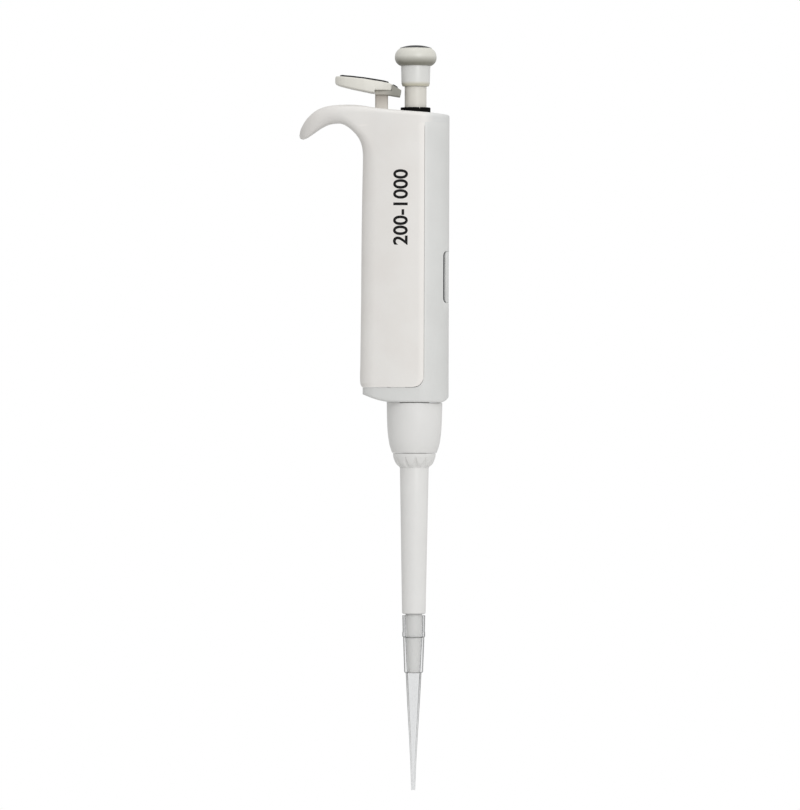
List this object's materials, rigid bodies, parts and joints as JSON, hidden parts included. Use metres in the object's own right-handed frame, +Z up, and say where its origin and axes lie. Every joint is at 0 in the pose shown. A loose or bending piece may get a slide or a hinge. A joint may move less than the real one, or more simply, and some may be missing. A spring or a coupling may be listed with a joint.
{
  "type": "adjustable pipette",
  "caption": "Hand-held adjustable air-displacement pipette with finger hook, push button, tip ejector and a clear tip fitted on its shaft.",
  "frame": {"origin": "middle of the flat land at the top of the finger hook's underside", "axes": "+Z up along the plunger, +X towards the counter window, hook towards -X"},
  "size_m": [0.0605, 0.025, 0.3006],
  "materials": {
    "shell_plastic": "satin warm off-white moulded plastic",
    "front_plastic": "satin light grey moulded plastic",
    "button_plastic": "satin cream moulded plastic",
    "collar_plastic": "satin pale grey moulded plastic",
    "stem_plastic": "satin beige moulded plastic",
    "hub_plastic": "matt olive grey moulded plastic",
    "slate_plastic": "dark slate insert",
    "black_plastic": "black moulded plastic",
    "lower_plastic": "satin light grey moulded plastic",
    "clear_window": "clear polished pane",
    "clear_tip": "clear polypropylene",
    "drum_plastic": "white moulded plastic with black digits",
    "steel": "turned stainless steel",
    "brass": "turned brass",
    "chassis_plastic": "dark glass-filled plastic",
    "rubber": "black nitrile",
    "seal_plastic": "white low-friction plastic"
  },
  "bodies": {
    "handle": {"handle_shell": "shell_plastic", "front_housing": "front_plastic", "display_window": "clear_window", "calibration_nut": "black_plastic", "thread_nut": "brass", "chassis": "chassis_plastic", "pinion_axle": "steel", "ejector_spring": "steel", "piston_spring": "steel", "blowout_spring": "steel", "base_plate": "lower_plastic", "base_screw_1": "steel", "base_screw_2": "steel", "base_screw_3": "steel", "base_screw_4": "steel", "shaft_nut": "lower_plastic", "shaft": "lower_plastic", "piston_seal": "seal_plastic", "piston_o_ring": "rubber", "seal_retainer": "steel"},
    "ejector": {"ejector_button": "button_plastic", "ejector_button_inlay": "slate_plastic", "ejector_hub": "hub_plastic", "ejector_hub_inlay": "slate_plastic", "ejector_stem": "stem_plastic", "ejector_rod": "steel", "ejector_cup": "lower_plastic", "ejector_ring": "lower_plastic", "ejector_sleeve": "lower_plastic"},
    "fitted_tip": {"tip": "clear_tip"},
    "volume_carriage": {"stop_washer": "brass"},
    "micrometer": {"micrometer_screw": "steel"},
    "plunger": {"piston_disc": "seal_plastic", "piston": "steel"},
    "knob": {"push_button": "button_plastic", "button_cap": "slate_plastic", "adjustment_collar": "collar_plastic", "plunger_stem": "stem_plastic", "operating_rod": "steel"},
    "blowout_stop": {"blowout_ring": "brass"},
    "thousands": {"drum_thousands": "drum_plastic"},
    "hundreds": {"drum_hundreds": "drum_plastic"},
    "tens": {"drum_tens": "drum_plastic"},
    "pinion_low": {"transfer_pinion_2": "seal_plastic"},
    "pinion_high": {"transfer_pinion_1": "seal_plastic"}
  },
  "joints": [
    {"name": "ejector_press", "type": "slide", "parent": "handle", "child": "ejector", "axis": [0, 0, -1], "range_m": [0, 0.0045], "stiffness_N_per_m": 500, "springref_m": -0.005, "deforming": ["ejector_spring"]},
    {"name": "tip_slide", "type": "slide", "parent": "ejector", "child": "fitted_tip", "axis": [0, 0, -1], "range_m": [0, 0.025]},
    {"name": "volume_rise", "type": "slide", "parent": "handle", "child": "volume_carriage", "axis": [0, 0, 1], "range_m": [0, 0.01764], "deforming": ["piston_spring"]},
    {"name": "volume_turn", "type": "hinge", "parent": "volume_carriage", "child": "micrometer", "pos_m": [0.0312, 0, -0.06], "axis": [0, 0, 1], "range_deg": [0, 2880.8]},
    {"name": "plunger_press", "type": "slide", "parent": "volume_carriage", "child": "plunger", "axis": [0, 0, -1], "range_m": [0, 0.0084], "stiffness_N_per_m": 300, "springref_m": -0.006, "deforming": ["piston_spring"]},
    {"name": "knob_turn", "type": "hinge", "parent": "plunger", "child": "knob", "pos_m": [0.0312, 0, -0.06], "axis": [0, 0, 1], "range_deg": [0, 2880.8]},
    {"name": "blowout_press", "type": "slide", "parent": "handle", "child": "blowout_stop", "axis": [0, 0, -1], "range_m": [0, 0.0042], "deforming": ["blowout_spring"]},
    {"name": "tens_turn", "type": "hinge", "parent": "handle", "child": "tens", "pos_m": [0.0312, 0, -0.06], "axis": [0, 0, 1], "range_deg": [0, 2880.8]},
    {"name": "hundreds_turn", "type": "hinge", "parent": "handle", "child": "hundreds", "pos_m": [0.0312, 0, -0.06], "axis": [0, 0, 1], "range_deg": [0, 288.2]},
    {"name": "thousands_turn", "type": "hinge", "parent": "handle", "child": "thousands", "pos_m": [0.0312, 0, -0.06], "axis": [0, 0, 1], "range_deg": [0, 28.9]},
    {"name": "pinion_low_turn", "type": "hinge", "parent": "handle", "child": "pinion_low", "pos_m": [0.0209, 0.00595, -0.06], "axis": [0, 0, 1], "range_deg": [-720.5, 0]},
    {"name": "pinion_high_turn", "type": "hinge", "parent": "handle", "child": "pinion_high", "pos_m": [0.0209, 0.00595, -0.06], "axis": [0, 0, 1], "range_deg": [-72.2, 0]}
  ],
  "couplings": [
    {"joint": "volume_turn", "follows": "volume_rise", "rad_per_m": 2850},
    {"joint": "knob_turn", "follows": "volume_rise", "rad_per_m": 2850},
    {"joint": "tens_turn", "follows": "volume_rise", "rad_per_m": 2850},
    {"joint": "hundreds_turn", "follows": "volume_rise", "rad_per_m": 285},
    {"joint": "thousands_turn", "follows": "volume_rise", "rad_per_m": 28.5},
    {"joint": "pinion_low_turn", "follows": "volume_rise", "rad_per_m": -712.51},
    {"joint": "pinion_high_turn", "follows": "volume_rise", "rad_per_m": -71.251},
    {"joint": "blowout_press", "follows": "plunger_press", "ratio": 0.488}
  ]
}
